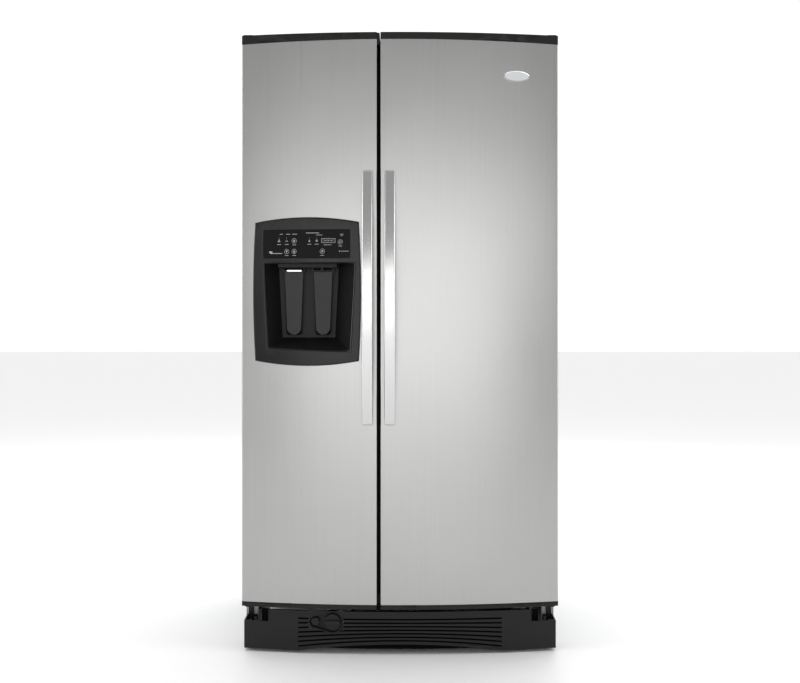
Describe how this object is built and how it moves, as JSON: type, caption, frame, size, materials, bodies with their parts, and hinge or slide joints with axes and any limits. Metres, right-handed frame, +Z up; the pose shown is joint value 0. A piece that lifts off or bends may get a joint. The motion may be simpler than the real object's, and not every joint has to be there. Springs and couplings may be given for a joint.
{
  "type": "side by side refrigerator",
  "caption": "Freestanding two-door refrigerator and freezer with bowed steel doors, bow handles and an ice and water dispenser in the left door.",
  "frame": {"origin": "on the floor, at the middle of the overall width and depth", "axes": "+Z up, -Y towards the person in front of the doors, +X to that person's right"},
  "size_m": [0.909, 0.86, 1.7785],
  "materials": {
    "stainless_steel": "vertical brushed grain, satin",
    "grey_paint": "fine textured grey enamel",
    "galvanised_steel": "galvanised sheet, dull",
    "cap_plastic": "moulded, fine texture",
    "black_plastic": "moulded, satin",
    "gloss_black": "polished moulding",
    "white_liner": "vacuum-formed white polystyrene",
    "gasket_rubber": "soft grey vinyl",
    "clear_plastic": "clear polystyrene",
    "shelf_glass": "tempered sheet",
    "coated_wire": "white epoxy-coated wire",
    "foam": "rigid polyurethane foam",
    "black_enamel": "black enamel",
    "bare_aluminium": "bare",
    "nylon": "moulded nylon"
  },
  "bodies": {
    "root": {"cabinet_shell": "grey_paint", "back_panel": "galvanised_steel", "cabinet_foam": "foam", "freezer_liner": "white_liner", "fridge_liner": "white_liner", "base_frame": "galvanised_steel", "base_grille": "black_plastic", "top_hinges": "galvanised_steel", "bottom_hinges": "black_enamel", "hinge_covers": "cap_plastic", "hinge_screws": "galvanised_steel", "compressor": "black_enamel", "condenser_coil": "black_enamel", "condenser_fan_motor": "black_plastic", "drain_pan": "black_plastic", "machine_cover": "galvanised_steel", "evaporator_coil": "bare_aluminium", "evaporator_cover": "white_liner", "shelf_glass": "shelf_glass", "shelf_frames": "white_liner", "freezer_shelves": "coated_wire", "ice_maker": "white_liner", "filter_housing": "white_liner"},
    "freezer_door": {"freezer_door_skin": "stainless_steel", "freezer_door_caps": "cap_plastic", "freezer_door_foam": "foam", "freezer_door_liner": "white_liner", "freezer_door_gasket": "gasket_rubber", "freezer_handle": "stainless_steel", "freezer_door_bins": "clear_plastic", "dispenser_bezel": "gloss_black", "dispenser_recess": "black_plastic", "dispenser_spouts": "black_plastic", "control_panel": "gloss_black"},
    "fridge_door": {"fridge_door_skin": "stainless_steel", "fridge_door_caps": "cap_plastic", "fridge_door_foam": "foam", "fridge_door_liner": "white_liner", "fridge_door_gasket": "gasket_rubber", "fridge_handle": "stainless_steel", "fridge_door_bins": "clear_plastic"},
    "ice_paddle": {"ice_paddle": "gloss_black"},
    "water_paddle": {"water_paddle": "gloss_black"},
    "dispense_key": {"dispense_key": "gloss_black"},
    "light_key": {"light_key": "gloss_black"},
    "lock_key": {"lock_key": "gloss_black"},
    "fast_ice_key": {"fast_ice_key": "gloss_black"},
    "filter_reset_key": {"filter_reset_key": "gloss_black"},
    "crisper_lower": {"crisper_lower": "clear_plastic"},
    "crisper_upper": {"crisper_upper": "clear_plastic"},
    "freezer_basket": {"freezer_basket": "coated_wire"},
    "ice_bin": {"ice_bin": "clear_plastic"},
    "filter_cartridge": {"filter_cartridge": "white_liner"},
    "filter_cap": {"filter_cap": "black_plastic"},
    "eject_button": {"eject_button": "black_plastic"},
    "levelling_foot_left": {"levelling_foot_left": "nylon"},
    "levelling_foot_right": {"levelling_foot_right": "nylon"},
    "rear_roller_left": {"rear_roller_left": "nylon"},
    "rear_roller_right": {"rear_roller_right": "nylon"},
    "condenser_fan": {"condenser_fan": "black_plastic"}
  },
  "joints": [
    {"name": "freezer_door_swing", "type": "hinge", "parent": "root", "child": "freezer_door", "pos_m": [-0.438, -0.285, 0.947], "axis": [0, 0, -1], "range_deg": [0, 130]},
    {"name": "fridge_door_swing", "type": "hinge", "parent": "root", "child": "fridge_door", "pos_m": [0.438, -0.285, 0.947], "axis": [0, 0, 1], "range_deg": [0, 130]},
    {"name": "ice_paddle_push", "type": "hinge", "parent": "freezer_door", "child": "ice_paddle", "pos_m": [-0.307, -0.282, 1.092], "axis": [1, 0, 0], "range_deg": [0, 4], "stiffness_Nm_per_rad": 0.5, "springref_deg": -2.86},
    {"name": "water_paddle_push", "type": "hinge", "parent": "freezer_door", "child": "water_paddle", "pos_m": [-0.223, -0.282, 1.092], "axis": [1, 0, 0], "range_deg": [0, 4], "stiffness_Nm_per_rad": 0.5, "springref_deg": -2.86},
    {"name": "dispense_key_press", "type": "slide", "parent": "freezer_door", "child": "dispense_key", "axis": [0, 1, 0], "range_m": [0, 0.001], "stiffness_N_per_m": 400, "springref_m": -0.0005},
    {"name": "light_key_press", "type": "slide", "parent": "freezer_door", "child": "light_key", "axis": [0, 1, 0], "range_m": [0, 0.001], "stiffness_N_per_m": 400, "springref_m": -0.0005},
    {"name": "lock_key_press", "type": "slide", "parent": "freezer_door", "child": "lock_key", "axis": [0, 1, 0], "range_m": [0, 0.001], "stiffness_N_per_m": 400, "springref_m": -0.0005},
    {"name": "fast_ice_key_press", "type": "slide", "parent": "freezer_door", "child": "fast_ice_key", "axis": [0, 1, 0], "range_m": [0, 0.001], "stiffness_N_per_m": 400, "springref_m": -0.0005},
    {"name": "filter_reset_key_press", "type": "slide", "parent": "freezer_door", "child": "filter_reset_key", "axis": [0, 1, 0], "range_m": [0, 0.001], "stiffness_N_per_m": 400, "springref_m": -0.0005},
    {"name": "crisper_lower_slide", "type": "slide", "parent": "root", "child": "crisper_lower", "axis": [0, -1, 0], "range_m": [0, 0.045]},
    {"name": "crisper_upper_slide", "type": "slide", "parent": "root", "child": "crisper_upper", "axis": [0, -1, 0], "range_m": [0, 0.045]},
    {"name": "freezer_basket_slide", "type": "slide", "parent": "root", "child": "freezer_basket", "axis": [0, -1, 0], "range_m": [0, 0.045]},
    {"name": "ice_bin_slide", "type": "slide", "parent": "root", "child": "ice_bin", "axis": [0, -1, 0], "range_m": [0, 0.033]},
    {"name": "filter_pull", "type": "slide", "parent": "root", "child": "filter_cartridge", "axis": [0, -1, 0], "range_m": [0, 0.2]},
    {"name": "filter_cap_turn", "type": "hinge", "parent": "filter_cartridge", "child": "filter_cap", "pos_m": [-0.192, -0.34, 0.091], "axis": [0, 1, 0], "range_deg": [0, 90]},
    {"name": "eject_press", "type": "slide", "parent": "root", "child": "eject_button", "axis": [0, 1, 0], "range_m": [0, 0.006], "stiffness_N_per_m": 200, "springref_m": -0.002},
    {"name": "levelling_left", "type": "slide", "parent": "root", "child": "levelling_foot_left", "axis": [0, 0, 1], "range_m": [0, 0.015]},
    {"name": "levelling_right", "type": "slide", "parent": "root", "child": "levelling_foot_right", "axis": [0, 0, 1], "range_m": [0, 0.015]},
    {"name": "roller_left_spin", "type": "hinge", "parent": "root", "child": "rear_roller_left", "pos_m": [-0.4313, 0.3785, 0.022], "axis": [1, 0, 0], "continuous": true},
    {"name": "roller_right_spin", "type": "hinge", "parent": "root", "child": "rear_roller_right", "pos_m": [0.4313, 0.3785, 0.022], "axis": [1, 0, 0], "continuous": true},
    {"name": "condenser_fan_spin", "type": "hinge", "parent": "root", "child": "condenser_fan", "pos_m": [-0.12, 0.3, 0.165], "axis": [0, 1, 0], "continuous": true}
  ]
}
